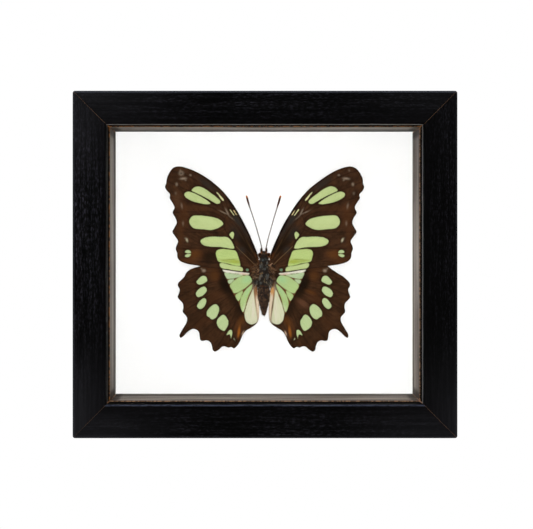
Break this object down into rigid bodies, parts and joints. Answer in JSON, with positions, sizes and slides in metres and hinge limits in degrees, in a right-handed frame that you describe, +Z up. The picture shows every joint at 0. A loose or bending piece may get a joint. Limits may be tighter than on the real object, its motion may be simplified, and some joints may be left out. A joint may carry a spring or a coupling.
{
  "type": "framed butterfly specimen",
  "caption": "Black wooden box frame with a glass front and a white mount board that carries one spread brown and green butterfly; stands on its lower edge or hangs on a wall.",
  "frame": {"origin": "middle of the frame's underside, on the surface it stands on", "axes": "+Z up, -Y out of the glass towards the viewer, +X to the viewer's right"},
  "size_m": [0.1588, 0.038, 0.1434],
  "materials": {
    "rail_wood": "black stain, satin, open grain along each rail",
    "spacer_wood": "dark stain, satin, bare brown front edge",
    "pane_glass": "clear, polished",
    "mount_paper": "white, matt paper face",
    "back_hardboard": "brown pressed fibre, smooth face",
    "zinc_steel": "zinc plated",
    "hanger_brass": "brass plated",
    "wing_scales": "powdery scales, brown with pale green patches",
    "body_hair": "short dark hair",
    "eye_facets": "fine facets, satin",
    "antenna_shell": "satin shell, ringed",
    "dried_glue": "clear yellowish drop"
  },
  "bodies": {
    "root": {"rail_top": "rail_wood", "rail_bottom": "rail_wood", "rail_left": "rail_wood", "rail_right": "rail_wood", "spacer_top": "spacer_wood", "spacer_bottom": "spacer_wood", "spacer_left": "spacer_wood", "spacer_right": "spacer_wood", "glass_pane": "pane_glass", "mount_board": "mount_paper", "back_board": "back_hardboard", "tab_top_a": "zinc_steel", "tab_top_b": "zinc_steel", "tab_bottom_a": "zinc_steel", "tab_bottom_b": "zinc_steel", "tab_left_a": "zinc_steel", "tab_left_b": "zinc_steel", "tab_right_a": "zinc_steel", "tab_right_b": "zinc_steel", "hanger": "hanger_brass", "rivet_left": "hanger_brass", "rivet_right": "hanger_brass", "forewing_left": "wing_scales", "forewing_right": "wing_scales", "hindwing_left": "wing_scales", "hindwing_right": "wing_scales", "head": "body_hair", "thorax": "body_hair", "abdomen": "body_hair", "eye_left": "eye_facets", "eye_right": "eye_facets", "palp_left": "body_hair", "palp_right": "body_hair", "antenna_left": "antenna_shell", "antenna_right": "antenna_shell", "leg_mid_left": "antenna_shell", "leg_mid_right": "antenna_shell", "leg_hind_left": "antenna_shell", "leg_hind_right": "antenna_shell", "glue_pad": "dried_glue"}
  },
  "joints": []
}
